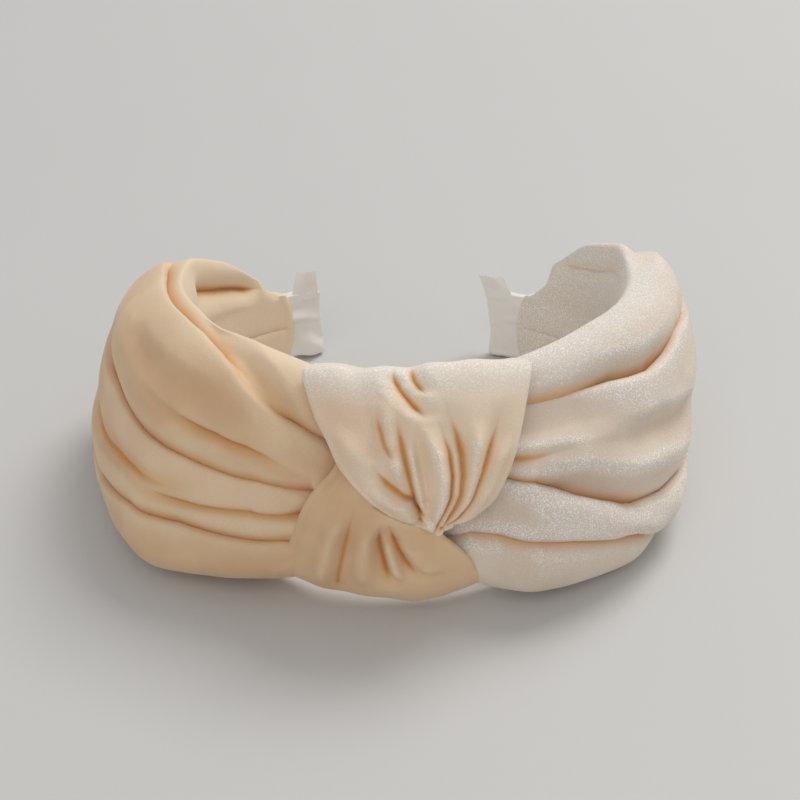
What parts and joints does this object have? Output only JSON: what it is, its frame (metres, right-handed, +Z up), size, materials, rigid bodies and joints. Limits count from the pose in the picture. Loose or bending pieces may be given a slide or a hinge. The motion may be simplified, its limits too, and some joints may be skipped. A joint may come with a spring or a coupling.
{
  "type": "knotted headband",
  "caption": "C-shaped hair band: a springy satin-covered plastic band inside wide pleated velvet, tied in a large knot at the front, with plain satin ends.",
  "frame": {"origin": "under the middle of the headband, on the table it stands on", "axes": "+Z up; the knot faces -Y and the open ends point to +Y; +X is to the right as seen from the knot's side"},
  "size_m": [0.1691, 0.1391, 0.0618],
  "materials": {
    "velvet": "crushed velvet, short pile",
    "satin": "glossy satin weave",
    "band_plastic": "moulded, satin",
    "glue": "hot-melt adhesive, amber"
  },
  "bodies": {
    "crown": {"core_crown": "band_plastic", "satin_crown": "satin", "glue_strip_crown": "glue", "velvet_lining_crown": "velvet", "velvet_neck_left": "velvet", "velvet_neck_right": "velvet", "knot_heart": "velvet", "knot_upper_wrap": "velvet", "knot_lower_wrap": "velvet"},
    "left_arm": {"core_arm_left": "band_plastic", "satin_arm_left": "satin", "satin_tip_left": "satin", "glue_strip_left": "glue", "glue_end_left": "glue", "velvet_lining_left": "velvet", "velvet_side_left": "velvet", "velvet_hem_left": "velvet"},
    "right_arm": {"core_arm_right": "band_plastic", "satin_arm_right": "satin", "satin_tip_right": "satin", "glue_strip_right": "glue", "glue_end_right": "glue", "velvet_lining_right": "velvet", "velvet_side_right": "velvet", "velvet_hem_right": "velvet"}
  },
  "joints": [
    {"name": "left_arm_flex", "type": "hinge", "parent": "crown", "child": "left_arm", "pos_m": [-0.02192, -0.0453, 0.03457], "axis": [0, 0.2079, 0.9781], "range_deg": [-4, 15], "stiffness_Nm_per_rad": 0.7},
    {"name": "right_arm_flex", "type": "hinge", "parent": "crown", "child": "right_arm", "pos_m": [0.02932, -0.0453, 0.03457], "axis": [0, -0.2079, -0.9781], "range_deg": [-4, 15], "stiffness_Nm_per_rad": 0.7}
  ]
}
